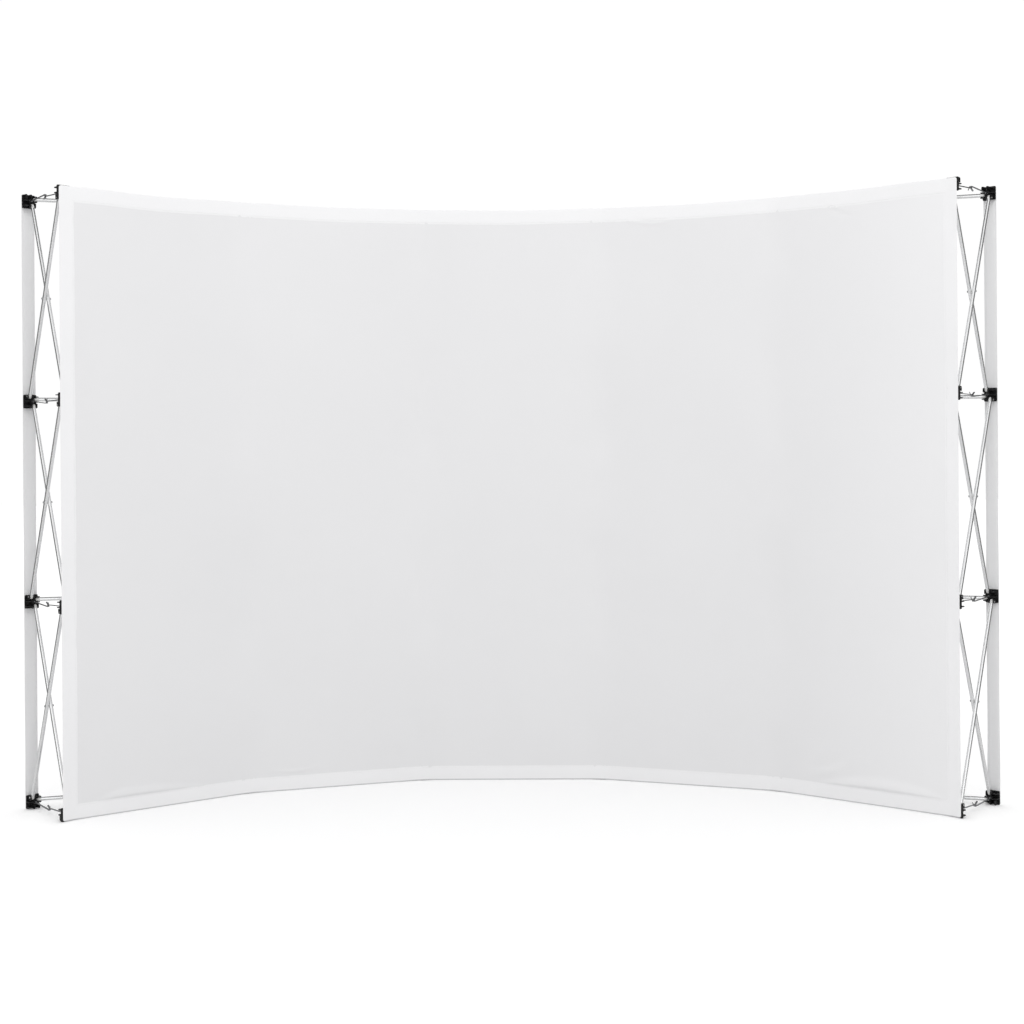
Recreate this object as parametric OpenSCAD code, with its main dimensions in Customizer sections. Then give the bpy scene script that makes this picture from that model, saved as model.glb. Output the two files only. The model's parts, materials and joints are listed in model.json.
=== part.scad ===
// Curved pop-up display backwall. A folding scissor frame of aluminium tubes and moulded
// hubs stands in an arc. Hook locks hold its front and rear layers at their depth, a fabric
// panel covers the front, and a fabric band backs the rear hubs at each end.
// Sizes are in millimetres. X runs along the wall, Y away from the viewer and Z up.
// The origin is on the floor, under the middle of the whole object.

/* [Frame layout] */
// Number of hub columns along the wall
columns = 6; // [4:1:7]
// Number of hub levels up the wall
levels = 4; // [3:1:5]
// Height from one hub level to the next
level_step = 740; // [600:5:900]
// Angle between one hub column and the next, in degrees
bay_angle = 17.8; // [12:0.1:20]
// Depth of the frame between the outer faces of its front and rear hubs
frame_depth = 277; // [230:1:340]

/* [Hubs] */
// Width and height of a hub's square plate
hub_w = 50; // [46:1:64]
// Thickness of the hub's plate
hub_plate_t = 3; // [2:0.5:5]
// Height of the hub's walls, from the outer face of its plate
hub_depth = 26; // [24:0.5:30]
// Corner radius of the hub's plate
hub_corner_r = 4; // [1:0.5:8]
// Thickness of the walls beside each slot
ear_t = 3.2; // [2:0.2:4.4]
// Distance from the hub's axis to the inner end of each slot's walls
ear_start = 8; // [7:0.5:9]
// Radius of the rounded free corners of the slot walls
ear_corner_r = 6; // [2:0.5:8]
// Thickness of the ribs that stiffen the slot walls
rib_t = 2; // [1.2:0.2:3]
// Height of the hub's stiffening ribs above its plate
rib_h = 9; // [4:0.5:12]

/* [Tubes] */
// Outside diameter of a tube
tube_d = 14; // [12:0.5:16]
// Wall thickness of a tube
tube_wall = 1; // [0.6:0.1:1.5]
// Thickness of the washer between two crossing tubes
washer_t = 1; // [0.5:0.1:2]
// Outside diameter of that washer
washer_d = 12; // [8:0.5:16]
// Distance from a hub's edge in to the pin of each tube
pin_inset = 6; // [5:0.5:7]
// Depth of the tube pins below a hub's outer face
pin_depth = 18; // [16:0.5:19]
// Diameter of the tube pins
pin_d = 4; // [3:0.5:5]
// Diameter of a tube pin's head
pin_head_d = 7; // [6:0.5:9]
// Thickness of a tube pin's head
pin_head_t = 1.6; // [1:0.1:2.4]
// Clearance all round a pin or rivet in its hole
pin_clearance = 0.1; // [0.06:0.01:0.2]

/* [Tube tips] */
// Diameter of the moulded tip in a tube's end
tip_d = 13; // [11:0.5:13.5]
// Distance from a tip's pin to its rounded end
tip_back = 10; // [8:0.5:10.5]
// Distance from a tip's pin to the shoulder that the tube butts on
tip_head = 6.5; // [6:0.5:12]
// Length of the shank that plugs into the tube
tip_shank = 20; // [10:1:40]
// Clearance all round the shank in the tube
tip_clearance = 0.1; // [0.05:0.05:0.3]
// Clearance at each side of a tube in its hub slot
slot_clearance = 0.7; // [0.4:0.1:1]

/* [Crossing rivets] */
// Diameter of the rivets where tubes cross
rivet_d = 4; // [3:0.5:5]
// Diameter of a rivet's domed head
rivet_head_d = 9; // [7:0.5:11]
// Height of a rivet's domed head
rivet_head_h = 4; // [2:0.5:4.5]

/* [Locks] */
// Depth of the lock pivots below a hub's outer face
lock_pivot_depth = 27.5; // [27:0.5:30]
// Width of a lock link's strip
link_w = 6; // [4:0.5:8]
// Thickness of a lock link's strip
link_t = 2.4; // [1.6:0.2:3]
// Diameter of the eye at a lock link's hub end
eye_d = 6.4; // [6:0.2:7]
// Diameter of the lock pivot pins
lock_pin_d = 3; // [2:0.5:3.5]
// How far the middle of a closed lock is off the straight line between its pivots
lock_offset = 6; // [2:0.5:12]
// Height over which the two hooks overlap
hook_overlap = 3.4; // [2:0.2:6]
// Clearance between the two closed hooks
hook_gap = 0.4; // [0.3:0.05:0.8]
// Length of the level stretch beside the middle that each link's hook stands on
hook_run = 8; // [6:0.5:20]
// Clearance at each side of a link between the lugs of its hub
lug_gap = 0.4; // [0.3:0.05:0.8]
// Thickness of the lugs that carry a lock pivot
lug_t = 2.5; // [2:0.5:3]
// Reach of a finger tab along the link
tab_run = 13; // [6:1:20]
// Height of the finger tabs' ends above the middle of the lock
tab_rise = 12; // [8:1:18]

/* [Fabric] */
// Thickness of the fabric panel and the rear bands
fabric_t = 1; // [0.8:0.1:2]
// Thickness of the hem folded over the panel's edges
hem_t = 0.6; // [0.4:0.1:1.5]
// Width of the hem down the panel's two ends
hem_side_w = 50; // [50:1:80]
// Width of the hem along the panel's top and bottom
hem_edge_w = 43; // [20:1:80]
// Distance that the panel's ends stop short of the end hubs' edges
panel_inset = 4; // [0:0.5:10]
// Clearance between the fabric's edges and the floor
floor_gap = 2; // [1:0.5:20]
// Width of a hub's square of hook tape
tape_w = 40; // [24:1:42]
// Thickness of the hook tape
tape_t = 1.5; // [1:0.1:3]
// Clearance between the hook tape and the fabric that it holds
tape_gap = 0.2; // [0.1:0.1:1]

/* [Hidden] */
$fn = 32;
SIDES = ["left", "right"];
first_column = 0;
last_column = columns - 1;
top_level = levels - 1;

// Places on a hub, from its axis and its outer face
tube_offset = (tube_d + washer_t) / 2;
slot_w = tube_d + 2 * slot_clearance;
pin_reach = hub_w / 2 - pin_inset;
lug_in = link_w / 2 + lug_gap;
lug_out = lug_in + lug_t;
pin_hole_d = pin_d + 2 * pin_clearance;
lock_hole_d = lock_pin_d + 2 * pin_clearance;
rivet_hole_d = rivet_d + 2 * pin_clearance;

// Distances between the pins of one tube
pins_rise = level_step - 2 * pin_reach;
pins_depth = frame_depth - 2 * pin_depth;
tube_pins = norm([pins_rise, pins_depth]);
tube_l = tube_pins - 2 * tip_head;

// All tubes are one length, and that sets the radius of the arc that the wall follows
half_bay = bay_angle / 2;
level_run = norm([pins_rise, pins_depth * sin(half_bay)]);
front_r = ((2 * pin_reach * cos(half_bay) + level_run) / sin(half_bay) - frame_depth) / 2;
rear_r = front_r + frame_depth;

// Share of a level tube from its front pin to where it crosses its mate
front_half = (front_r + pin_depth) * sin(half_bay) - pin_reach * cos(half_bay);
rear_half = (rear_r - pin_depth) * sin(half_bay) - pin_reach * cos(half_bay);
crossing_share = front_half / (front_half + rear_half);

// The fabric lies before the front hubs, and the bands behind the end rear hubs
panel_back_r = front_r - tape_t - tape_gap;
panel_front_r = panel_back_r - fabric_t;
hem_front_r = panel_front_r - hem_t;
band_front_r = rear_r + tape_t + tape_gap;
wall_h = top_level * level_step + hub_w;
fabric_h = wall_h - 2 * floor_gap;

// The arc's centre lies before the wall, so that the origin is under the middle of the object
function column_angle(i) = (i - (columns - 1) / 2) * bay_angle;
function level_z(j) = hub_w / 2 + j * level_step;
panel_end_t = hub_w / 2 - panel_inset;
end_angle = column_angle(last_column);
wall_front = min(hem_front_r * cos(end_angle) - panel_end_t * sin(end_angle),
                 front_r * cos(end_angle) - hub_w / 2 * sin(end_angle));
wall_back = max([for (i = [first_column:last_column])
    rear_r * cos(column_angle(i)) + hub_w / 2 * sin(abs(column_angle(i)))]);
arc_y = -(wall_front + wall_back) / 2;

// A point at radius r and sideways distance t on column i, seen from above
function plan_point(i, r, t) =
    let (a = column_angle(i)) [r * sin(a) + t * cos(a), arc_y + r * cos(a) - t * sin(a)];
function space_point(i, r, t, z) = concat(plan_point(i, r, t), z);

// Half the span of a lock, and the height of each strip's middle off the lock's middle
lock_half = frame_depth / 2 - lock_pivot_depth;
strip_offset = hook_overlap / 2 + hook_gap + link_t / 2;
link_end = lock_half + hook_gap / 2 + link_t;

// ---------- places ----------

// A column's frame: X along the wall, Y outward along the arc's radius
module at_column(i) {
    translate([0, arc_y, 0])
        rotate([0, 0, -column_angle(i)])
            children();
}

// A hub's frame: its plate's outer face at Z = 0 and its slots towards +Z
module at_front_hub(i, j) {
    at_column(i)
        translate([0, front_r, level_z(j)])
            rotate([90, 0, 180])
                children();
}

module at_rear_hub(i, j) {
    at_column(i)
        translate([0, rear_r, level_z(j)])
            rotate([90, 0, 0])
                children();
}

// Turns +Z to run from one point to another. Holes across a tube run along Y
module along(from, to, roll = 0) {
    run = to - from;
    translate(from)
        rotate([0, acos(run[2] / norm(run)), atan2(run[1], run[0])])
            rotate([0, 0, roll])
                children();
}

// The two tubes that cross in column i above level j, each from its front pin
module column_crossing(i, j) {
    front = front_r + pin_depth;
    rear = rear_r - pin_depth;
    low = level_z(j) + pin_reach;
    high = level_z(j + 1) - pin_reach;
    along(space_point(i, front, -tube_offset, high), space_point(i, rear, -tube_offset, low))
        children();
    along(space_point(i, front, tube_offset, low), space_point(i, rear, tube_offset, high))
        children();
}

// The two tubes that cross in the bay beside column i at level j, each from its front pin
module level_crossing(i, j) {
    front = front_r + pin_depth;
    rear = rear_r - pin_depth;
    high = level_z(j) + tube_offset;
    low = level_z(j) - tube_offset;
    along(space_point(i + 1, front, -pin_reach, high), space_point(i, rear, pin_reach, high), 90)
        children();
    along(space_point(i, front, pin_reach, low), space_point(i + 1, rear, -pin_reach, low), 90)
        children();
}

module all_column_crossings() {
    for (i = [first_column:last_column], j = [0:top_level - 1])
        column_crossing(i, j)
            children();
}

module all_level_crossings() {
    for (i = [first_column:last_column - 1], j = [0:top_level])
        level_crossing(i, j)
            children();
}

// ---------- hubs ----------

// What is left of a square of side r outside its quarter circle
module spandrel(r) {
    difference() {
        square(r);
        circle(r);
    }
}

module rounded_square(w, r) {
    difference() {
        square(w, center = true);
        for (a = [0:90:270])
            rotate(a)
                translate([w / 2 - r, w / 2 - r])
                    spandrel(r);
    }
}

// One wall of a slot from the side: X outward from the hub's axis, Y up from its outer face
module ear_profile() {
    ear_l = hub_w / 2 - ear_start;
    translate([ear_start, 0])
        difference() {
            square([ear_l, hub_depth]);
            translate([ear_l - ear_corner_r, hub_depth - ear_corner_r])
                spandrel(ear_corner_r);
            translate([pin_reach - ear_start, pin_depth])
                circle(d = pin_hole_d);
        }
}

// The slot for the tube that leaves the hub upward: its two walls and their ribs
module slot_walls() {
    for (side = [-1, 1]) {
        inner = -tube_offset + side * slot_w / 2;
        wall_x = side < 0 ? inner - ear_t : inner;
        translate([wall_x, 0, 0])
            rotate([90, 0, 90])
                linear_extrude(ear_t)
                    ear_profile();
    }
    rib_x = -tube_offset - slot_w / 2 - ear_t;
    for (y = [ear_start, pin_reach - rib_t / 2])
        translate([-hub_w / 2 + hub_corner_r, y, 0])
            cube([rib_x + hub_w / 2 - hub_corner_r, rib_t, rib_h]);
}

// The post in the middle and the two lugs that carry the lock's pivot
module lock_post() {
    post_h = lock_pivot_depth - eye_d / 2 - link_t;
    linear_extrude(post_h)
        square(2 * (ear_start - 1), center = true);
    for (side = [-1, 1])
        translate([side < 0 ? -lug_out : lug_in, 0, 0])
            rotate([90, 0, 90])
                linear_extrude(lug_t)
                    difference() {
                        union() {
                            translate([-eye_d / 2, 0])
                                square([eye_d, lock_pivot_depth]);
                            translate([0, lock_pivot_depth])
                                circle(d = eye_d);
                        }
                        translate([0, lock_pivot_depth])
                            circle(d = lock_hole_d);
                    }
}

module hub() {
    linear_extrude(hub_plate_t)
        rounded_square(hub_w, hub_corner_r);
    for (a = [0:90:270])
        rotate([0, 0, a])
            slot_walls();
    lock_post();
}

module front_hubs(i) {
    color("#19191b")
        for (j = [0:top_level])
            at_front_hub(i, j)
                hub();
}

module rear_hubs(i) {
    color("#19191b")
        for (j = [0:top_level])
            at_rear_hub(i, j)
                hub();
}

// ---------- tubes ----------

// A tube from its front tip's shoulder, with the rivet hole at a share of its pins' distance
module tube(crossing) {
    translate([0, 0, tip_head])
        difference() {
            cylinder(d = tube_d, h = tube_l);
            translate([0, 0, -1])
                cylinder(d = tube_d - 2 * tube_wall, h = tube_l + 2);
            translate([0, 0, crossing * tube_pins - tip_head])
                rotate([90, 0, 0])
                    cylinder(d = rivet_hole_d, h = tube_d + 2, center = true);
        }
}

module column_tubes(i) {
    color("#c9cbce")
        for (j = [0:top_level - 1])
            column_crossing(i, j)
                tube(1 / 2);
}

module level_tubes(j) {
    color("#c9cbce")
        for (i = [first_column:last_column - 1])
            level_crossing(i, j)
                tube(crossing_share);
}

// A tip about its pin, with its rounded end below and the shank that fills the tube above
module tube_tip() {
    round_z = -tip_back + tip_d / 2;
    difference() {
        rotate_extrude() {
            translate([0, round_z])
                intersection() {
                    circle(d = tip_d);
                    translate([0, -tip_d / 2])
                        square(tip_d / 2);
                }
            translate([0, round_z])
                square([tip_d / 2, tip_head - round_z]);
            square([tube_d / 2 - tube_wall - tip_clearance, tip_head + tip_shank]);
        }
        rotate([90, 0, 0])
            cylinder(d = pin_hole_d, h = tip_d + 2, center = true);
    }
}

// The tips at both ends of a tube whose front pin is at the origin
module tube_tips() {
    tube_tip();
    translate([0, 0, tube_pins])
        rotate([180, 0, 0])
            tube_tip();
}

module column_tube_tips() {
    color("#e6e6e4")
        all_column_crossings()
            tube_tips();
}

module level_tube_tips() {
    color("#e6e6e4")
        all_level_crossings()
            tube_tips();
}

// ---------- pins, rivets and washers ----------

// The pin of the slot that leaves a hub upward: a domed head outside and an upset end inside
module slot_pin() {
    outer = -tube_offset - slot_w / 2 - ear_t;
    inner = -tube_offset + slot_w / 2 + ear_t;
    upset = (pin_head_d - pin_d) / 4;
    translate([0, pin_reach, pin_depth])
        rotate([0, 90, 0])
            rotate_extrude() {
                translate([0, outer - upset])
                    square([pin_d / 2, inner - outer + 2 * upset]);
                translate([0, inner])
                    square([pin_d / 2 + upset, upset]);
                translate([0, outer - pin_head_t])
                    square([pin_head_d / 2 - upset, pin_head_t]);
                translate([0, outer - pin_head_t / 2])
                    square([pin_head_d / 2, pin_head_t / 2]);
            }
}

// Pins of a hub's upward and downward slots, where its column goes on that way
module hub_column_pins(j) {
    if (j < top_level)
        slot_pin();
    if (j > 0)
        rotate([0, 0, 180])
            slot_pin();
}

module column_pins() {
    color("#d8d8d8")
        for (i = [first_column:last_column], j = [0:top_level]) {
            at_front_hub(i, j)
                hub_column_pins(j);
            at_rear_hub(i, j)
                hub_column_pins(j);
        }
}

// Pins of a hub's sideways slots. The front hubs look the other way along the wall
module level_pins() {
    color("#d8d8d8")
        for (i = [first_column:last_column], j = [0:top_level]) {
            if (i < last_column) {
                at_front_hub(i, j)
                    rotate([0, 0, 90])
                        slot_pin();
                at_rear_hub(i, j)
                    rotate([0, 0, -90])
                        slot_pin();
            }
            if (i > first_column) {
                at_front_hub(i, j)
                    rotate([0, 0, -90])
                        slot_pin();
                at_rear_hub(i, j)
                    rotate([0, 0, 90])
                        slot_pin();
            }
        }
}

// A rivet along Y through two tubes that cross at the origin, with a domed head at each end
module rivet() {
    head_y = tube_offset + tube_d / 2;
    dome_r = (pow(rivet_head_d / 2, 2) + pow(rivet_head_h, 2)) / (2 * rivet_head_h);
    rotate([90, 0, 0])
        cylinder(d = rivet_d, h = 2 * head_y, center = true);
    for (side = [-1, 1])
        rotate([side * 90, 0, 0])
            translate([0, 0, head_y])
                rotate_extrude()
                    intersection() {
                        translate([0, rivet_head_h - dome_r])
                            circle(dome_r);
                        square([rivet_head_d, rivet_head_h]);
                    }
}

module washer() {
    rotate([90, 0, 0])
        difference() {
            cylinder(d = washer_d, h = washer_t, center = true);
            cylinder(d = rivet_hole_d, h = washer_t + 2, center = true);
        }
}

module at_column_rivets() {
    for (i = [first_column:last_column], j = [0:top_level - 1])
        at_column(i)
            translate([0, front_r + frame_depth / 2, level_z(j + 1 / 2)])
                rotate([0, 0, 90])
                    children();
}

module at_level_rivets() {
    across = (front_r + pin_depth) * cos(half_bay) + pin_reach * sin(half_bay);
    depth = across + crossing_share * pins_depth * cos(half_bay);
    for (i = [first_column:last_column - 1], j = [0:top_level])
        at_column(i + 1 / 2)
            translate([0, depth, level_z(j)])
                rotate([90, 0, 0])
                    children();
}

module column_rivets() {
    color("#b9bbbe")
        at_column_rivets()
            rivet();
}

module level_rivets() {
    color("#b9bbbe")
        at_level_rivets()
            rivet();
}

module crossing_washers() {
    color("#e6e6e4") {
        at_column_rivets()
            washer();
        at_level_rivets()
            washer();
    }
}

module lock_pins() {
    pin_l = 2 * lug_out + link_t / 2;
    color("#b9bbbe")
        for (i = [first_column:last_column], j = [0:top_level]) {
            at_front_hub(i, j)
                translate([0, 0, lock_pivot_depth])
                    rotate([0, 90, 0])
                        cylinder(d = lock_pin_d, h = pin_l, center = true);
            at_rear_hub(i, j)
                translate([0, 0, lock_pivot_depth])
                    rotate([0, 90, 0])
                        cylinder(d = lock_pin_d, h = pin_l, center = true);
        }
}

// ---------- lock links ----------

// A strip with upright ends, from one point to another on its middle line
module strip(from, to) {
    half = [0, link_t / 2];
    polygon([from - half, to - half, to + half, from + half]);
}

// A link's eye, strip and hook from the side: its pivot is at the origin and X runs to the
// middle of the lock. Side is 1 for the strip that passes over the other link's hook
module link_profile(side) {
    middle = -lock_offset;
    strip_y = middle + side * strip_offset;
    lip_y = middle - side * hook_overlap / 2;
    difference() {
        union() {
            circle(d = eye_d);
            strip([0, 0], [lock_half - hook_run, strip_y]);
            strip([lock_half - hook_run, strip_y], [link_end, strip_y]);
            translate([link_end - link_t, min(lip_y, strip_y)])
                square([link_t, abs(strip_y - lip_y)]);
        }
        circle(d = lock_hole_d);
    }
}

// The link on top at the hooks. Its finger tab rises from its end
module over_link() {
    strip_y = -lock_offset + strip_offset;
    translate([0, 0, -link_w / 2])
        linear_extrude(link_w) {
            link_profile(1);
            strip([link_end - link_t, strip_y],
                  [link_end - link_t + tab_run, tab_rise - lock_offset]);
        }
}

// The link underneath. Its finger tab rises beside the other link
module under_link() {
    strip_y = -lock_offset - strip_offset;
    tab_start = link_end - link_t;
    translate([0, 0, -link_w / 2])
        linear_extrude(link_w)
            link_profile(-1);
    translate([0, 0, link_w / 2]) {
        linear_extrude(lug_gap + link_t)
            translate([tab_start - link_t, strip_y - link_t / 2])
                square([2 * link_t, link_t]);
        translate([0, 0, lug_gap])
            linear_extrude(link_t)
                strip([tab_start, strip_y], [tab_start + tab_run, tab_rise - lock_offset]);
    }
}

// The locks sag in the middle and their tabs point up, but at the top level they are inverted
module at_lock(i, j, radius) {
    at_column(i)
        translate([0, radius, level_z(j)])
            mirror([0, 0, j == top_level ? 1 : 0])
                children();
}

module front_link(i, j) {
    color("#8f9194")
        at_lock(i, j, front_r + lock_pivot_depth)
            rotate([90, 0, 90])
                over_link();
}

module rear_link(i, j) {
    color("#8f9194")
        at_lock(i, j, rear_r - lock_pivot_depth)
            rotate([90, 0, -90])
                under_link();
}

module inner_front_links() {
    for (i = [first_column + 1:last_column - 1], j = [0:top_level])
        front_link(i, j);
}

module inner_rear_links() {
    for (i = [first_column + 1:last_column - 1], j = [0:top_level])
        rear_link(i, j);
}

// ---------- hook tape and fabric ----------

module tape_square() {
    translate([-tape_w / 2, -tape_w / 2, -tape_t])
        cube([tape_w, tape_w, tape_t]);
}

module front_hook_tape() {
    color("#303032")
        for (i = [first_column:last_column], j = [0:top_level])
            at_front_hub(i, j)
                tape_square();
}

module rear_hook_tape() {
    color("#303032")
        for (i = [first_column, last_column], j = [0:top_level])
            at_rear_hub(i, j)
                tape_square();
}

// The line that stretched fabric follows at a radius: flat on each hub's tape, straight between
function fabric_line(r) = [for (i = [first_column:last_column], side = [-1, 1])
    plan_point(i, r, side * (is_panel_end(i, side) ? panel_end_t : tape_w / 2))];
function is_panel_end(i, side) =
    (i == first_column && side < 0) || (i == last_column && side > 0);

// The same line without its end hems, which reach a little past the end hubs' tape
function inside_hems(line) =
    let (n = len(line), on_hub = panel_end_t + tape_w / 2)
    [for (k = [1:n - 2])
        k == 1 ? step_along(line[1], line[2], hem_side_w - on_hub)
        : k == n - 2 ? step_along(line[n - 2], line[n - 3], hem_side_w - on_hub)
        : line[k]];
function step_along(from, to, distance) = from + (to - from) / norm(to - from) * distance;
function reversed(list) = [for (k = [len(list) - 1:-1:0]) list[k]];

module front_panel() {
    color("#ececef")
        translate([0, 0, floor_gap])
            linear_extrude(fabric_h)
                polygon(concat(fabric_line(panel_back_r), reversed(fabric_line(panel_front_r))));
}

module panel_hem() {
    color("#f4f4f6")
        translate([0, 0, floor_gap])
            difference() {
                linear_extrude(fabric_h)
                    polygon(concat(fabric_line(panel_front_r), reversed(fabric_line(hem_front_r))));
                translate([0, 0, hem_edge_w])
                    linear_extrude(fabric_h - 2 * hem_edge_w)
                        polygon(concat(inside_hems(fabric_line(panel_back_r)),
                                       reversed(inside_hems(fabric_line(hem_front_r - hem_t)))));
            }
}

module rear_band(i) {
    color("#dededf")
        at_column(i)
            translate([-hub_w / 2, band_front_r, floor_gap])
                cube([hub_w, fabric_t, fabric_h]);
}

for (i = [1:columns]) {
    front_hubs(i - 1);
    rear_hubs(i - 1);
    column_tubes(i - 1);
}
for (j = [1:levels]) {
    level_tubes(j - 1);
    front_link(first_column, j - 1);
    rear_link(first_column, j - 1);
    front_link(last_column, j - 1);
    rear_link(last_column, j - 1);
}
column_tube_tips();
level_tube_tips();
column_pins();
level_pins();
column_rivets();
level_rivets();
crossing_washers();
lock_pins();
inner_front_links();
inner_rear_links();
front_hook_tape();
rear_hook_tape();
front_panel();
panel_hem();
rear_band(first_column);  // left_rear_band
rear_band(last_column);  // right_rear_band
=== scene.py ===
import json
import math

import bmesh
import bpy
from mathutils import Matrix, Vector, noise


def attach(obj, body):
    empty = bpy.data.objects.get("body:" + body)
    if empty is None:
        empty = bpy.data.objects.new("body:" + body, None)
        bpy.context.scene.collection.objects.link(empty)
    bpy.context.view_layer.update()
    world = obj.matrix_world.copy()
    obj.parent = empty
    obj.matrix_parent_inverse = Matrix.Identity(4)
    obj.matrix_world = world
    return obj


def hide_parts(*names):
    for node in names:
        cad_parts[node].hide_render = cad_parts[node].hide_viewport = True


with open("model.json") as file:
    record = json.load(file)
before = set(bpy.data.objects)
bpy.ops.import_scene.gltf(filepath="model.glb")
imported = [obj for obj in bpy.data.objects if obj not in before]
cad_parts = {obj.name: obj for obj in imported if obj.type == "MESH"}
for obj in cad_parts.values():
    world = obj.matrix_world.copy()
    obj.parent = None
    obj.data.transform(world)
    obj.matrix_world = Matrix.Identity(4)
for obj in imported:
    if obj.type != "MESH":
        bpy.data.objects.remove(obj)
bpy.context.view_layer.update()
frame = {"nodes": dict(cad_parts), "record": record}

# ---------- the frame's places ----------

COLUMNS, LEVELS = 6, 4
LEVEL_STEP = 0.740
# Turn from one hub column to the next on the arc
BAY = math.radians(17.8)
HUB_W = 0.050
# The arc's radius at the front hubs' faces and at the rear hubs' backs, and its centre
FRONT_R, REAR_R = 2.25478, 2.53178
ARC_Y = -2.04794
# The hook tape's thickness, its clearance to the cloth, and its width
TAPE_T, TAPE_GAP, TAPE_W = 0.0015, 0.0002, 0.040

# ---------- the cloth's sizes ----------

# Bottom and top edge of all cloth
LOW, HIGH = 0.0008, 2.2685
# How far the panel reaches past the middle of the end columns
PANEL_END = 0.019
# The panel's top edge rises from its end corners to the hubs, and sags in each bay
TOP_RISE, TOP_SAGS = 0.003, (0.009, 0.004, 0.005, 0.005, 0.005)
# Distances from the panel's edge to the hem's stitches and to the end of its fold
SEAM, HEM = 0.052, 0.063
# The right side's hem is this share as wide as the others
RIGHT_SHARE = 0.9
# Radius of the panel's corners
CORNER_R = 0.009


def column_angle(i):
    return (i - (COLUMNS - 1) / 2) * BAY


def level_z(j):
    return HUB_W / 2 + j * LEVEL_STEP


def plan(i, r, t):
    """The point at radius r and sideways distance t on column i, seen from above."""
    a = column_angle(i)
    return Vector((r * math.sin(a) + t * math.cos(a), ARC_Y + r * math.cos(a) - t * math.sin(a)))


def fabric_polyline(r):
    """The line that the cloth follows: flat on each hub's tape, straight between hubs."""
    points = []
    for i in range(COLUMNS):
        for side in (-1, 1):
            end = (i == 0 and side < 0) or (i == COLUMNS - 1 and side > 0)
            points.append(plan(i, r, side * (PANEL_END if end else TAPE_W / 2)))
    return points


# The line's corners and the length along it at each, from the left end to PANEL_L
LINE = fabric_polyline(FRONT_R - TAPE_T - TAPE_GAP)
STARTS = [0.0]
for a, b in zip(LINE, LINE[1:]):
    STARTS.append(STARTS[-1] + (b - a).length)
PANEL_L = STARTS[-1]

# ---------- node helpers ----------

# Places of the two colours among a Mix node's inputs, and of the result among its outputs
MIX_A, MIX_B, MIX_RESULT = 6, 7, 2


def new_material(name, base=(0.8, 0.8, 0.8), **inputs):
    """A Principled material. Keyword names are the shader's own, with _ for a space."""
    material = bpy.data.materials.new(name)
    material.use_nodes = True
    tree = material.node_tree
    shader = tree.nodes["Principled BSDF"]
    shader.inputs["Base Color"].default_value = (*base, 1)
    for key, value in inputs.items():
        shader.inputs[key.replace("_", " ")].default_value = value
    return material, tree, shader


def add(tree, kind, **settings):
    """A new node. Each setting is the value of an input, or else a property of the node."""
    node = tree.nodes.new(kind)
    for key, value in settings.items():
        if key in node.inputs:
            node.inputs[key].default_value = value
        else:
            setattr(node, key, value)
    return node


def place(tree, scale=(1, 1, 1), output="Object"):
    """Coordinates of the piece itself, stretched by scale."""
    where = add(tree, "ShaderNodeTexCoord")
    mapping = add(tree, "ShaderNodeMapping")
    mapping.inputs["Scale"].default_value = scale
    tree.links.new(where.outputs[output], mapping.inputs["Vector"])
    return mapping.outputs["Vector"]


def noise_of(tree, vector, scale, detail=3.0, roughness=0.5):
    node = add(tree, "ShaderNodeTexNoise", Scale=scale, Detail=detail, Roughness=roughness)
    tree.links.new(vector, node.inputs["Vector"])
    return node.outputs["Fac"]


def ramp_of(tree, value, low, high, a, b):
    """Maps low..high of a value to a..b, or to the colours a and b."""
    if isinstance(a, (int, float)):
        node = add(tree, "ShaderNodeMapRange")
        for key, number in (("From Min", low), ("From Max", high), ("To Min", a), ("To Max", b)):
            node.inputs[key].default_value = number
        tree.links.new(value, node.inputs["Value"])
        return node.outputs["Result"]
    node = add(tree, "ShaderNodeValToRGB")
    first, last = node.color_ramp.elements
    first.position, last.position = low, high
    first.color, last.color = (*a, 1), (*b, 1)
    tree.links.new(value, node.inputs["Fac"])
    return node.outputs["Color"]


def math_of(tree, operation, *values):
    """The result of a sum on numbers and sockets."""
    node = add(tree, "ShaderNodeMath", operation=operation)
    for socket, value in zip(node.inputs, values):
        if isinstance(value, (int, float)):
            socket.default_value = value
        else:
            tree.links.new(value, socket)
    return node.outputs["Value"]


def mix_of(tree, amount, a, b):
    """The colour from socket a toward colour b, by an amount from 0 to 1."""
    node = add(tree, "ShaderNodeMix", data_type="RGBA")
    node.inputs[MIX_B].default_value = (*b, 1)
    tree.links.new(a, node.inputs[MIX_A])
    tree.links.new(amount, node.inputs["Factor"])
    return node.outputs[MIX_RESULT]


def bump_of(tree, shader, height, strength, distance, normal=None):
    node = add(tree, "ShaderNodeBump", Strength=strength, Distance=distance)
    tree.links.new(height, node.inputs["Height"])
    if normal is not None:
        tree.links.new(normal, node.inputs["Normal"])
    tree.links.new(node.outputs["Normal"], shader.inputs["Normal"])


def rounded_edges(tree, radius):
    node = add(tree, "ShaderNodeBevel", Radius=radius)
    node.samples = 4
    return node.outputs["Normal"]


# ---------- materials ----------


def hub_plastic():
    """Black moulded nylon: fine spark texture, a little flow mottle, softened edges."""
    material, tree, shader = new_material(
        "hub_plastic", Roughness=0.42, Specular_IOR_Level=0.32
    )
    at = place(tree)
    mottle = noise_of(tree, at, 60, 4)
    colour = ramp_of(tree, mottle, 0.3, 0.75, (0.006, 0.006, 0.0065), (0.017, 0.017, 0.018))
    tree.links.new(colour, shader.inputs["Base Color"])
    tree.links.new(ramp_of(tree, mottle, 0.3, 0.7, 0.36, 0.5), shader.inputs["Roughness"])
    grain = noise_of(tree, at, 1800, 2)
    bump_of(tree, shader, grain, 0.18, 0.0002, rounded_edges(tree, 0.0006))
    return material


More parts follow.
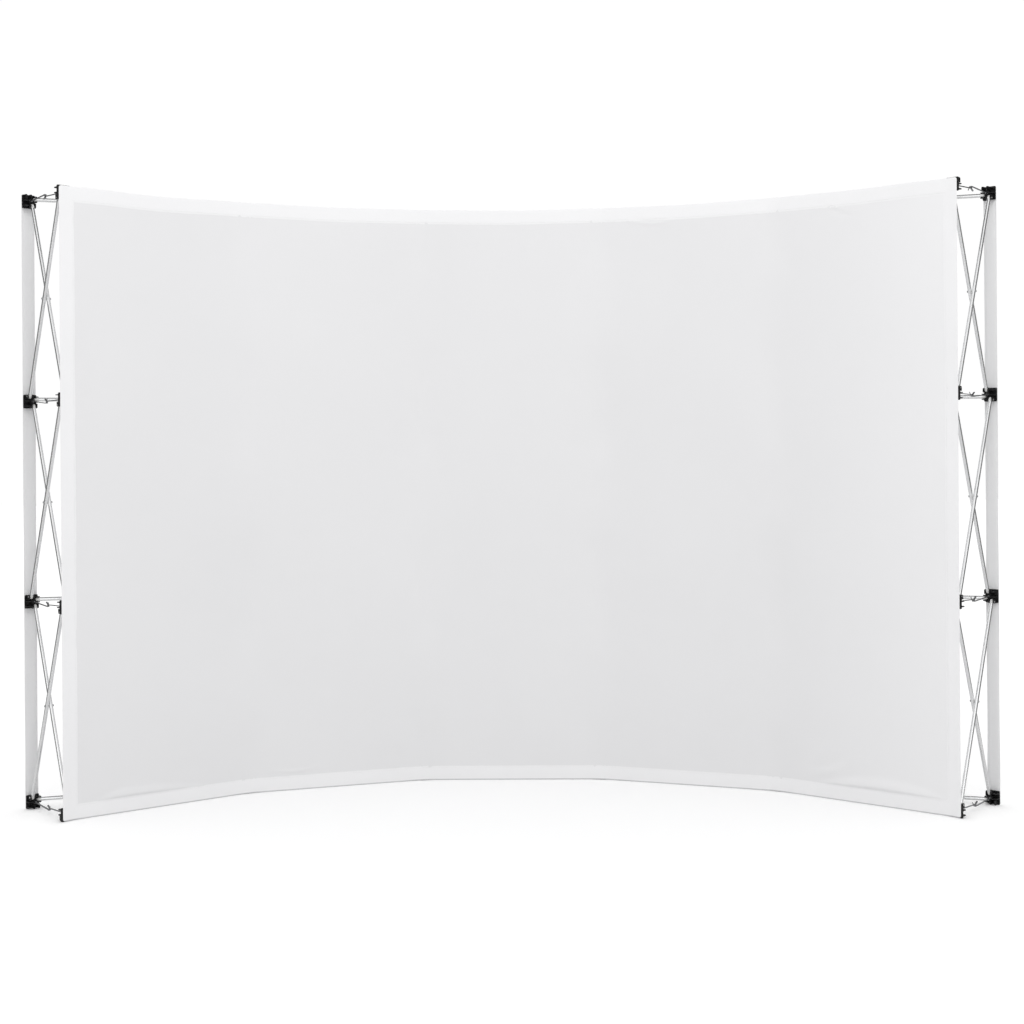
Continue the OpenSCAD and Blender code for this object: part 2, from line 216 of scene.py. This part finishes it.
def drawn_aluminium():
    """Satin anodised tube: drawn grain, faint handling marks and uneven gloss."""
    material, tree, shader = new_material("tube_aluminium", Metallic=1.0, Roughness=0.24)
    at = place(tree)
    cloud = noise_of(tree, at, 9, 3)
    fine = noise_of(tree, at, 420, 2)
    colour = ramp_of(tree, cloud, 0.3, 0.7, (0.86, 0.866, 0.872), (0.93, 0.934, 0.938))
    tree.links.new(colour, shader.inputs["Base Color"])
    gloss = math_of(
        tree,
        "ADD",
        ramp_of(tree, fine, 0.3, 0.7, -0.05, 0.05),
        ramp_of(tree, cloud, 0.3, 0.7, 0.20, 0.28),
    )
    tree.links.new(gloss, shader.inputs["Roughness"])
    marks = noise_of(tree, place(tree, (1500, 1500, 40)), 1, 2)
    bump_of(tree, shader, marks, 0.05, 0.0001)
    return material


def plated_steel(name, dark, light, rough, marks=0.12):
    """Zinc-plated steel with crystalline mottle and softened edges."""
    material, tree, shader = new_material(name, Metallic=1.0, Roughness=rough)
    at = place(tree)
    mottle = noise_of(tree, at, 260, 4, 0.6)
    tree.links.new(ramp_of(tree, mottle, 0.3, 0.72, dark, light), shader.inputs["Base Color"])
    tree.links.new(
        ramp_of(tree, mottle, 0.3, 0.7, rough - 0.07, rough + 0.09), shader.inputs["Roughness"]
    )
    grain = noise_of(tree, at, 1400, 2)
    bump_of(tree, shader, grain, marks, 0.00015, rounded_edges(tree, 0.0003))
    return material


def tip_plastic():
    """Light grey moulded tips, slightly rubbed where they turn in the slots."""
    material, tree, shader = new_material("tip_plastic", Roughness=0.38)
    at = place(tree)
    rub = noise_of(tree, at, 150, 3)
    colour = ramp_of(tree, rub, 0.3, 0.7, (0.70, 0.70, 0.69), (0.84, 0.84, 0.83))
    tree.links.new(colour, shader.inputs["Base Color"])
    tree.links.new(ramp_of(tree, rub, 0.3, 0.7, 0.32, 0.46), shader.inputs["Roughness"])
    bump_of(tree, shader, noise_of(tree, at, 1500, 1), 0.06, 0.0001)
    return material


def hook_tape():
    """Hook tape: rows of tiny stiff hooks on a woven ground."""
    material, tree, shader = new_material("hook_tape", Roughness=0.75, Specular_IOR_Level=0.3)
    cells = add(tree, "ShaderNodeTexVoronoi", Scale=650.0)
    tree.links.new(place(tree), cells.inputs["Vector"])
    hooks = cells.outputs["Distance"]
    colour = ramp_of(tree, hooks, 0.1, 0.7, (0.09, 0.09, 0.092), (0.012, 0.012, 0.013))
    tree.links.new(colour, shader.inputs["Base Color"])
    bump_of(tree, shader, math_of(tree, "SUBTRACT", 1.0, hooks), 0.9, 0.0006)
    return material


# Lengths along the panel over which painted light makes its right end lighter, and the white it
# reaches
END_LIGHT_START, END_LIGHT_END = 2.70, 3.47
END_LIGHT_WHITE = (0.877, 0.876, 0.885)
# The panel's own white, which the hem melts into, and how much of it the hem takes
PANEL_WHITE = (0.818, 0.817, 0.826)
MOST_MELT = 0.9
# Heights above the cloth's bottom edge between which its painted contact shadow ends, how far
# these vary, and the shadow's grey
RIM_LOW, RIM_HIGH, RIM_UNEVEN = 0.0035, 0.0055, 0.001
CONTACT_SHADOW_GREY = (0.60, 0.60, 0.61)
# Distance between the knit's wales, and how much closer its courses are
WALE_STEP, COURSE_SHARE = 0.0011, 1.3


# Each colour change gets the colour so far and the cloth's sockets: its place along (x) and up (y)
# the cloth, and its fibre's noise. It gives the new colour. The end light and the contact shadow
# among them are painted light and painted shade.


def painted_end_light(tree, colour, cloth):
    """Painted light: the panel gets lighter toward its right end."""
    amount = ramp_of(tree, cloth["x"], END_LIGHT_START, END_LIGHT_END, 0.0, 1.0)
    return mix_of(tree, math_of(tree, "POWER", amount, 1.5), colour, END_LIGHT_WHITE)


def melted(tree, colour, cloth):
    """The hem's fold thins out past its seam, less so toward the panel's right end, where painted
    light makes the panel lighter.
    """
    x, y = cloth["x"], cloth["y"]
    from_right = math_of(tree, "DIVIDE", math_of(tree, "SUBTRACT", PANEL_L, x), RIGHT_SHARE)
    across = math_of(tree, "MINIMUM", x, from_right)
    from_low, from_high = math_of(tree, "SUBTRACT", y, LOW), math_of(tree, "SUBTRACT", HIGH, y)
    inward = math_of(tree, "MINIMUM", across, math_of(tree, "MINIMUM", from_low, from_high))
    thin = ramp_of(tree, inward, SEAM, HEM, 0.0, 1.0)
    away_from_end_light = ramp_of(tree, x, END_LIGHT_START, END_LIGHT_END, MOST_MELT, 0.0)
    return mix_of(tree, math_of(tree, "MULTIPLY", thin, away_from_end_light), colour, PANEL_WHITE)


def painted_contact_shadow(tree, colour, cloth):
    """Painted contact shadow: grey along the lowest edge, where the cloth meets the floor."""
    uneven = math_of(tree, "MULTIPLY", cloth["fibre"], RIM_UNEVEN)
    height = math_of(tree, "ADD", cloth["y"], uneven)
    amount = ramp_of(tree, height, LOW + RIM_LOW, LOW + RIM_HIGH, 1.0, 0.0)
    return mix_of(tree, amount, colour, CONTACT_SHADOW_GREY)


def knit(name, shade, light, *colour_changes):
    """White stretched polyester knit. UVs run in metres along (x) and up (y) the cloth."""
    material, tree, shader = new_material(name, Roughness=0.86, Specular_IOR_Level=0.25)
    shader.inputs["Sheen Weight"].default_value = 0.12
    shader.inputs["Sheen Roughness"].default_value = 0.5
    uv = place(tree, output="UV")
    cloud = noise_of(tree, uv, 1.7, 3)
    fibre = noise_of(tree, uv, 700, 2)
    both = math_of(
        tree, "ADD", math_of(tree, "MULTIPLY", cloud, 0.7), math_of(tree, "MULTIPLY", fibre, 0.3)
    )
    colour = ramp_of(tree, both, 0.3, 0.7, shade, light)
    split = add(tree, "ShaderNodeSeparateXYZ")
    tree.links.new(uv, split.inputs["Vector"])
    x, y = split.outputs["X"], split.outputs["Y"]
    for colour_change in colour_changes:
        colour = colour_change(tree, colour, {"x": x, "y": y, "fibre": fibre})
    tree.links.new(colour, shader.inputs["Base Color"])
    turn = 2 * math.pi / WALE_STEP
    wale = math_of(tree, "SINE", math_of(tree, "MULTIPLY", x, turn))
    course = math_of(tree, "SINE", math_of(tree, "MULTIPLY", y, turn * COURSE_SHARE))
    loops = math_of(
        tree, "ADD", math_of(tree, "MULTIPLY", wale, course), math_of(tree, "MULTIPLY", fibre, 0.8)
    )
    bump_of(tree, shader, loops, 0.25, 0.00012)
    return material


def thread():
    """Twisted white sewing thread."""
    material, tree, shader = new_material("stitch_thread", Roughness=0.6)
    twist = noise_of(tree, place(tree), 2500, 2)
    colour = ramp_of(tree, twist, 0.3, 0.7, (0.80, 0.80, 0.81), (0.9, 0.9, 0.9))
    tree.links.new(colour, shader.inputs["Base Color"])
    bump_of(tree, shader, twist, 0.3, 0.0001)
    return material


def paper_white(name, seen, glow):
    """The studio's white sweep. It looks whiter than it lights, with a little glow in view."""
    material, tree, shader = new_material(name, Roughness=0.9, Specular_IOR_Level=0.0)
    tone = noise_of(tree, place(tree), 0.6, 2)
    view = add(tree, "ShaderNodeLightPath").outputs["Is Camera Ray"]
    paper = ramp_of(tree, tone, 0.3, 0.7, (0.70, 0.70, 0.70), (0.72, 0.72, 0.72))
    tree.links.new(mix_of(tree, view, paper, (seen, seen, seen)), shader.inputs["Base Color"])
    shader.inputs["Emission Color"].default_value = (1, 1, 1, 1)
    tree.links.new(math_of(tree, "MULTIPLY", view, glow), shader.inputs["Emission Strength"])
    return material


LOOKS = {
    "hub_plastic": hub_plastic(),
    "tube_aluminium": drawn_aluminium(),
    "tip_plastic": tip_plastic(),
    "pin_steel": plated_steel("pin_steel", (0.62, 0.62, 0.62), (0.85, 0.85, 0.85), 0.22),
    "rivet_steel": plated_steel("rivet_steel", (0.34, 0.35, 0.36), (0.6, 0.61, 0.62), 0.34),
    "link_steel": plated_steel("link_steel", (0.2, 0.2, 0.21), (0.42, 0.43, 0.44), 0.36, 0.2),
    "hook_tape": hook_tape(),
    # Painted light toward the right end, and a painted contact shadow along the bottom edge
    "panel_fabric": knit(
        "panel_fabric", (0.808, 0.807, 0.816), (0.828, 0.827, 0.836), painted_end_light, painted_contact_shadow
    ),
    # The hem has the same painted contact shadow along its bottom edge
    "hem_fabric": knit(
        "hem_fabric", (0.896, 0.895, 0.904), (0.914, 0.913, 0.922), melted, painted_contact_shadow
    ),
    "band_fabric": knit("band_fabric", (0.815, 0.815, 0.82), (0.855, 0.855, 0.86)),
}
THREAD = thread()
SLOTS = {part["node"]: part["material_slot"] for part in frame["record"]["subparts"]}
for node, piece in frame["nodes"].items():
    piece.data.materials.clear()
    piece.data.materials.append(LOOKS[SLOTS[node]])

# ---------- the cloth's surface ----------

# Height beside a level's middle that its tape holds, and over which the cloth then comes free
HELD, COMES_FREE = 0.03, 0.25
# Length over which the cloth bends at a hub column: on the tape, and more when it is free
BEND_HELD, BEND_FREE = 0.012, 0.15
BEND_SAMPLES = 8
# Distance past the bend at which the cloth's direction is taken
AIM_REACH = 0.003
# How far the cloth lies off its line, and the most that a trough goes back
CLOTH_GAP, DEEPEST = 0.0004, -0.0012
# Height below the top edge over which the edge's rise and sag die out
TOP_REACH = 0.3


def on_line(s):
    """The point at length s along the polyline, which goes on straight past its ends."""
    k = 0
    while k < len(STARTS) - 2 and s > STARTS[k + 1]:
        k += 1
    a, b = LINE[k], LINE[k + 1]
    return a + (b - a) * ((s - STARTS[k]) / (STARTS[k + 1] - STARTS[k]))


def clamp(x):
    return min(1.0, max(0.0, x))


def smooth(x):
    """A soft step from 0 to 1."""
    x = clamp(x)
    return x * x * (3 - 2 * x)


def slack(z):
    """0 where the hubs' tape holds the cloth, 1 half-way between two levels."""
    nearest = min(abs(z - level_z(j)) for j in range(LEVELS))
    return smooth((nearest - HELD) / COMES_FREE)


def cloth_plan(s, z):
    """Where the cloth's middle lies in plan, and the direction that it faces there."""
    window = BEND_HELD + BEND_FREE * slack(z)
    total = Vector((0.0, 0.0))
    for k in range(-BEND_SAMPLES, BEND_SAMPLES + 1):
        total += on_line(s + window / 2 * k / BEND_SAMPLES)
    point = total / (2 * BEND_SAMPLES + 1)
    way = on_line(s + window / 2 + AIM_REACH) - on_line(s - window / 2 - AIM_REACH)
    way.normalize()
    return point, Vector((way.y, -way.x))


# Creases: place along and up the cloth, half length, width, tilt and height
CREASES = [
    (3.080, 2.188, 0.090, 0.007, -0.42, -0.0014),
    (3.040, 0.110, 0.12, 0.014, 0.42, 0.0016),
    (0.900, 0.074, 0.16, 0.006, 0.02, 0.0010),
    (2.330, 2.200, 0.14, 0.006, -0.03, 0.0010),
]
# Soft bulges that stand on the hem: ends along the cloth, skew, reach upward and height
BULGES = [
    (0.135, 0.540, 0.62, 0.044, 0.0034),
    (2.985, 3.480, 1.00, 0.058, 0.0046),
]
# How much a crease is bowed, and its trough's share of its height and place in widths
BOW, TROUGH, TROUGH_AT = 0.22, 0.55, 1.7
# A crease is left out past this many widths
CREASE_REACH = 4
# Share of a bulge's reach at which it is highest, and its reach at its ends
CREST, END_REACH = 0.27, 0.25
# Height of the wide, shallow waves inside the panel, and of the closer ones along its edges
WAVE, EDGE_WAVE = 0.0007, 0.0006


def crease(s, z, s0, z0, length, width, tilt, height):
    """A soft wrinkle: a ridge with a shallow trough beside it."""
    ds, dz = s - s0, z - z0
    along = ds * math.cos(tilt) + dz * math.sin(tilt)
    across = -ds * math.sin(tilt) + dz * math.cos(tilt)
    across -= BOW * along * along / length
    w = across / width
    if abs(along) > length or abs(w) > CREASE_REACH:
        return 0.0
    taper = math.cos(along / length * math.pi / 2) ** 2
    return height * taper * (math.exp(-w * w) - TROUGH * math.exp(-((w - TROUGH_AT) ** 2)))


def bulge(s, z, s0, s1, skew, reach, height):
    """A lens of slack cloth above the bottom hem, steep below and gentle above."""
    q = (s - s0) / (s1 - s0)
    up = z - (LOW + SEAM)
    if not 0 < q < 1 or up <= 0:
        return 0.0
    lens = math.sin(math.pi * q ** skew)
    v = up / (reach * (END_REACH + (1 - END_REACH) * lens))
    if v >= 1:
        return 0.0
    side = smooth(v / CREST) if v < CREST else 1 - smooth((v - CREST) / (1 - CREST))
    return height * lens * side


def relief(s, z):
    """How far the cloth stands out from its stretched surface."""
    out = sum(crease(s, z, *c) for c in CREASES) + sum(bulge(s, z, *b) for b in BULGES)
    from_edge = min(z - LOW, HIGH - z)
    inside = smooth(min(s, PANEL_L - s) / 0.12) * smooth(from_edge / 0.10)
    out += WAVE * inside * noise.noise(Vector((s * 2.1, z * 2.6, 3.7)))
    edge = 1 - smooth(from_edge / 0.16)
    out += EDGE_WAVE * edge * noise.noise(Vector((s * 11, z * 5, 9.1)))
    return out


def top_rise(s):
    """How far the top edge stands above the ends' corners: hubs hold it up, bays sag."""
    inside = smooth((min(s, PANEL_L - s) - 0.05) / 0.15)
    bay = (s - PANEL_END) / (PANEL_L - 2 * PANEL_END) * len(TOP_SAGS)
    k = min(len(TOP_SAGS) - 1, max(0, int(bay)))
    return TOP_RISE * inside - TOP_SAGS[k] * math.sin(math.pi * clamp(bay - k)) ** 2


def cloth_point(s, z, lift):
    """The point at length s and height z on the panel, raised off its surface by lift."""
    point, facing = cloth_plan(s, z)
    shift = lift + CLOTH_GAP + max(DEEPEST, relief(s, z))
    z += top_rise(s) * smooth((z - HIGH + TOP_REACH) / TOP_REACH)
    return Vector((point.x + facing.x * shift, point.y + facing.y * shift, z))


def inside_corner(s, z):
    """Pulls the cloth's square corners in to a small radius."""
    near_s = s if s < PANEL_L / 2 else PANEL_L - s
    near_z = z - LOW if z < (LOW + HIGH) / 2 else HIGH - z
    if near_s >= CORNER_R or near_z >= CORNER_R:
        return s, z
    ds, dz = CORNER_R - near_s, CORNER_R - near_z
    scale = max(ds, dz) / math.hypot(ds, dz)
    near_s, near_z = CORNER_R - ds * scale, CORNER_R - dz * scale
    return (
        near_s if s < PANEL_L / 2 else PANEL_L - near_s,
        LOW + near_z if z < (LOW + HIGH) / 2 else HIGH - near_z,
    )


# ---------- mesh helpers ----------


def rows(low, high, step, extra=()):
    """Even steps from low to high, with some extra stations worked in."""
    count = max(2, round((high - low) / step))
    values = [low + (high - low) * k / count for k in range(count + 1)]
    values = [v for v in values if all(abs(v - e) > 0.35 * step for e in extra)]
    return sorted(values + list(extra))


def mesh_piece(name, points, faces, uvs, material):
    """A smooth-shaded mesh, with a uv for each of its points."""
    mesh = bpy.data.meshes.new(name)
    mesh.from_pydata(points, [], faces)
    layer = mesh.uv_layers.new(name="cloth")
    for loop in mesh.loops:
        layer.data[loop.index].uv = uvs[loop.vertex_index]
    mesh.polygons.foreach_set("use_smooth", [True] * len(mesh.polygons))
    mesh.materials.append(material)
    return in_scene(name, mesh)


def in_scene(name, data):
    piece = bpy.data.objects.new(name, data)
    bpy.context.scene.collection.objects.link(piece)
    return piece


def grid_piece(name, us, vs, at, material):
    """A sheet over a grid of u and v, each point given by at(u, v)."""
    points = [at(u, v) for v in vs for u in us]
    uvs = [(u, v) for v in vs for u in us]
    n = len(us)
    faces = [
        (r * n + c, r * n + c + 1, (r + 1) * n + c + 1, (r + 1) * n + c)
        for r in range(len(vs) - 1)
        for c in range(n - 1)
    ]
    return mesh_piece(name, points, faces, uvs, material)


def thicken(piece, thickness, offset=1.0):
    """Gives a sheet its thickness for good: offset 1 adds it along the normals, -1 against."""
    modifier = piece.modifiers.new("thickness", "SOLIDIFY")
    modifier.thickness = thickness
    modifier.offset = offset
    modifier.use_even_offset = False
    bpy.context.view_layer.update()
    thick = bpy.data.meshes.new_from_object(
        piece.evaluated_get(bpy.context.evaluated_depsgraph_get())
    )
    sheet = piece.data
    piece.modifiers.clear()
    piece.data = thick
    bpy.data.meshes.remove(sheet)


# ---------- the front panel ----------

CLOTH_STEP = 0.016
PANEL_LIFT, PANEL_T = 0.0002, 0.0005
# Stations from each corner and, above the bottom edge, the fine rows that follow the hem
AT_CORNER = [0.0, 0.003, 0.006, CORNER_R]
AT_HEM = [0.03, 0.045, 0.0525, 0.055, 0.0575, 0.060, 0.063, 0.066, 0.069, 0.073, 0.077, 0.082,
          0.088, 0.094, 0.101, 0.108, 0.116, 0.125, 0.135, 0.145]
# Heights from the edge between which only the fine rows are used
FINE_FROM, FINE_TO = 0.02, 0.150


def panel_rows():
    corners = [LOW + c for c in AT_CORNER] + [HIGH - c for c in AT_CORNER]
    even = [
        z
        for z in rows(LOW, HIGH, CLOTH_STEP, corners)
        if FINE_TO < z < HIGH - FINE_TO or z < FINE_FROM or z > HIGH - FINE_FROM
    ]
    return sorted(even + AT_HEM + [HIGH + LOW - z for z in AT_HEM])


def panel_at(s, z):
    return cloth_point(*inside_corner(s, z), PANEL_LIFT)


panel = grid_piece(
    "stretched_panel",
    rows(0.0, PANEL_L, CLOTH_STEP, AT_CORNER + [PANEL_L - c for c in AT_CORNER]),
    panel_rows(),
    panel_at,
    LOOKS["panel_fabric"],
)
thicken(panel, PANEL_T)
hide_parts("front_panel")
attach(panel, "panel")

# ---------- the hem: cloth folded to the front, one ring sewn down near its inner edge ----------


def hem_bottom(along, w):
    return w + along * (PANEL_L - (1 + RIGHT_SHARE) * w), LOW + w


def hem_top(along, w):
    return w + along * (PANEL_L - (1 + RIGHT_SHARE) * w), HIGH - w


def hem_left(along, w):
    return w, LOW + w + along * (HIGH - LOW - 2 * w)


def hem_right(along, w):
    return PANEL_L - RIGHT_SHARE * w, LOW + w + along * (HIGH - LOW - 2 * w)


# Each side's place at a share along it and a distance w in from the edge, and its length
SIDES = {
    "bottom": (hem_bottom, PANEL_L),
    "top": (hem_top, PANEL_L),
    "left": (hem_left, HIGH - LOW),
    "right": (hem_right, HIGH - LOW),
}
HEM_STEP, HEM_T = 0.010, 0.0004
# How far the hem lies off the panel: at its thin end, and more where it is doubled, and
# more again past its rim, where it puckers
HEM_THIN, HEM_DOUBLED, HEM_RIM, PUCKER = 0.00015, 0.0003, 0.0003, 0.0002
HEM_WIDTHS = [0.0, 0.0008, 0.003, 0.008, 0.016, 0.026, 0.035, HEM - 0.020, HEM - 0.015,
              HEM - 0.010, HEM - 0.006, HEM - 0.003, HEM]


def hem_lift(s, z, w):
    """How far the hem lies off the panel at a distance w in from the edge."""
    sewn = smooth((HEM - w) / 0.020)
    edge = smooth(w / 0.003)
    pucker = noise.noise(Vector((s * 45, z * 45, 4.2))) * PUCKER
    return HEM_THIN + HEM_DOUBLED * sewn + (HEM_RIM + pucker) * edge * sewn


def hem_ring():
    points, faces, uvs = [], [], []
    for side, length in SIDES.values():
        n = round(length / HEM_STEP) + 1
        base = len(points)
        for w in HEM_WIDTHS:
            for k in range(n):
                s, z = inside_corner(*side(k / (n - 1), w))
                points.append(cloth_point(s, z, hem_lift(s, z, w)))
                uvs.append((s, z))
        flip = side in (hem_top, hem_left)
        for r in range(len(HEM_WIDTHS) - 1):
            for c in range(n - 1):
                p = base + r * n + c
                face = (p, p + 1, p + n + 1, p + n)
                faces.append(face[::-1] if flip else face)
    ring = mesh_piece("panel_hem_cloth", points, faces, uvs, LOOKS["hem_fabric"])
    shape = bmesh.new()
    shape.from_mesh(ring.data)
    bmesh.ops.remove_doubles(shape, verts=shape.verts, dist=1e-5)
    shape.to_mesh(ring.data)
    shape.free()
    thicken(ring, HEM_T)
    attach(ring, "panel")
    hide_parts("panel_hem")
    return ring


# Distance between stitches, the shares of it between which a thread shows, and how far in
# from the edge they run
STITCH_STEP = 0.006
SHOWS_FROM, SHOWS_TO = 0.14, 0.86
STITCH_W = SEAM - 0.002
# A thread's half width, its height at its ends and in its middle, and its crown above that
THREAD_HALF, THREAD_END, THREAD_MIDDLE, THREAD_CROWN = 0.0005, 0.00085, 0.0011, 0.0002


def stitches(name, side, length):
    """A row of short threads along one side of the hem, each a three-sided bridge."""
    count = int(length / STITCH_STEP)
    points, faces, uvs = [], [], []
    for k in range(count):
        a0, a1 = (k + SHOWS_FROM) / count, (k + SHOWS_TO) / count
        base = len(points)
        for a, high in ((a0, THREAD_END), ((a0 + a1) / 2, THREAD_MIDDLE), (a1, THREAD_END)):
            s, z = side(a, STITCH_W)
            s1, z1 = side(a, STITCH_W - THREAD_HALF)
            ring = ((s, z, high + THREAD_CROWN), (s1, z1, high), (2 * s - s1, 2 * z - z1, high))
            points += [cloth_point(*corner) for corner in ring]
            uvs += [corner[:2] for corner in ring]
        for p in (base, base + 3):
            faces += [(p, p + 1, p + 4, p + 3), (p + 1, p + 2, p + 5, p + 4),
                      (p + 2, p, p + 3, p + 5)]
        faces += [(base, base + 2, base + 1), (base + 6, base + 7, base + 8)]
    seam = mesh_piece(name, points, faces, uvs, THREAD)
    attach(seam, "panel")
    return seam


hem = hem_ring()
seams = [stitches("seam_" + name, *side) for name, side in SIDES.items()]

# ---------- the rear bands ----------

BAND_STEP, BAND_T = 0.012, 0.0006
# The band's own hem: its width and how far it stands out
BAND_HEM_W, BAND_HEM_T = 0.007, 0.0004
# The band's clearance to the tape, and how far it stands off before its ripple and curl
BAND_GAP, BAND_OFF = 0.0003, 0.0005
# Between the hubs the band narrows by this share, ripples, and curls at its edges
NARROWING, RIPPLE, CURL = 0.05, 0.0016, 0.0012


def rear_band(side, i):
    """A strip of the same cloth behind the end column's rear hubs, hemmed at both edges."""
    r = REAR_R + TAPE_T + TAPE_GAP

    def at(t, z):
        free = slack(z)
        narrow = 1 - NARROWING * free * (0.7 + 0.3 * math.sin(z * 9 + i))
        ripple = RIPPLE * free * noise.noise(Vector((t * 18, z * 3.2, 2.0 + i)))
        curl = CURL * free * (2 * abs(t) / HUB_W) ** 3
        edge = BAND_HEM_T if abs(t) > HUB_W / 2 - BAND_HEM_W else 0.0
        off = max(0.0, ripple + curl + BAND_OFF) + edge
        p = plan(i, r + BAND_GAP + off, t * narrow)
        return Vector((p.x, p.y, z))

    half = HUB_W / 2
    ts = [-half, -half + 0.001, -half + 0.0065, -half + 0.0075]
    ts += [-0.012, -0.006, 0.0, 0.006, 0.012] + [-t for t in reversed(ts)]
    band = grid_piece(
        f"{side}_band_cloth", ts, rows(LOW, HIGH, BAND_STEP), at, LOOKS["band_fabric"]
    )
    thicken(band, BAND_T, -1.0)
    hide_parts(f"{side}_rear_band")
    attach(band, f"{side}_band")


rear_band("left", 0)
rear_band("right", COLUMNS - 1)

# ---------- studio ----------

FLOOR_SIZE, FLOOR_DROP = 60, 0.0004
FLOOR_SEEN, FLOOR_GLOW = 1.0, 0.075
SKY = 1.01
KEY_AT, KEY_AIM, KEY_SIZE, KEY_POWER = (0.9, -4.76, 6.3), (0.1, 0.2, 1.5), (7.0, 1.6), 100
# Glow of the cards that draw the tubes' dark edges, and of the one that draws their core
DARK, BRIGHT = 0.16, 1.35


def plane(name, size, material, matrix):
    mesh = bpy.data.meshes.new(name)
    w, h = size[0] / 2, size[1] / 2
    mesh.from_pydata([(-w, -h, 0), (w, -h, 0), (w, h, 0), (-w, h, 0)], [], [(0, 1, 2, 3)])
    mesh.materials.append(material)
    piece = in_scene(name, mesh)
    piece.matrix_world = matrix
    return piece


def softbox(name, place_at, aim, size, power):
    """A rectangular light, which neither the camera nor reflections see."""
    light = bpy.data.lights.new(name, "AREA")
    light.shape = "RECTANGLE"
    light.size, light.size_y = size
    light.energy = power
    piece = in_scene(name, light)
    turn = (Vector(place_at) - Vector(aim)).to_track_quat("Z", "Y").to_matrix().to_4x4()
    piece.matrix_world = Matrix.Translation(place_at) @ turn
    piece.visible_camera = piece.visible_glossy = False
    return piece


def card(name, size, place_at, axis, glow):
    """A card facing along an axis, which only reflections see."""
    material, _, shader = new_material(name, (0.01, 0.01, 0.01), Roughness=1.0)
    shader.inputs["Emission Color"].default_value = (1, 1, 1, 1)
    shader.inputs["Emission Strength"].default_value = glow
    turn = {
        "X": Matrix.Rotation(math.pi / 2, 4, "Y"),
        "Y": Matrix.Rotation(math.pi / 2, 4, "X"),
        "Z": Matrix.Identity(4),
    }[axis]
    piece = plane(name, size, material, Matrix.Translation(place_at) @ turn)
    piece.visible_camera = piece.visible_diffuse = piece.visible_shadow = False
    piece.visible_transmission = piece.visible_volume_scatter = False


floor = plane(
    "floor",
    (FLOOR_SIZE, FLOOR_SIZE),
    paper_white("floor_white", FLOOR_SEEN, FLOOR_GLOW),
    Matrix.Translation((0, 0, -FLOOR_DROP)),
)

world = bpy.data.worlds.new("studio")
world.use_nodes = True
world.node_tree.nodes["Background"].inputs["Color"].default_value = (1, 1, 1, 1)
world.node_tree.nodes["Background"].inputs["Strength"].default_value = SKY
bpy.context.scene.world = world

# The key light leaves the floor out, which stays evenly white
key = softbox("key", KEY_AT, KEY_AIM, KEY_SIZE, KEY_POWER)
skipped = bpy.data.collections.new("not_lit_by_key")
skipped.objects.link(floor)
key.light_linking.receiver_collection = skipped
skipped.collection_objects[0].light_linking.link_state = "EXCLUDE"

card("flag_left", (4.4, 5.6), (-2.8, 0.9, 1.6), "X", DARK)
card("flag_right", (4.4, 5.6), (2.8, 0.9, 1.6), "X", DARK)
card("flag_top", (5.6, 4.6), (0, 0.9, 3.9), "Z", DARK)
card("front_card", (8.0, 5.0), (0, -9.0, 1.5), "Y", BRIGHT)

bpy.context.scene.view_settings.view_transform = "Standard"

# ---------- camera: fitted to the hubs and the panel's corners in the photograph ----------

LENS, SENSOR, SHIFT_Y = 51.18, 36.0, -0.0617
EYE_AT, EYE_PAN, EYE_ROLL = (0.0704, -5.6169, 1.3179), 0.0109, -0.0069

camera = bpy.data.cameras.new("camera")
camera.lens, camera.sensor_width, camera.shift_y = LENS, SENSOR, SHIFT_Y
camera.clip_start, camera.clip_end = 0.05, 100.0
eye = in_scene("camera", camera)
eye.matrix_world = (
    Matrix.Translation(EYE_AT)
    @ Matrix.Rotation(EYE_PAN, 4, "Z")
    @ Matrix.Rotation(math.pi / 2, 4, "X")
    @ Matrix.Rotation(EYE_ROLL, 4, "Z")
)
bpy.context.scene.camera = eye
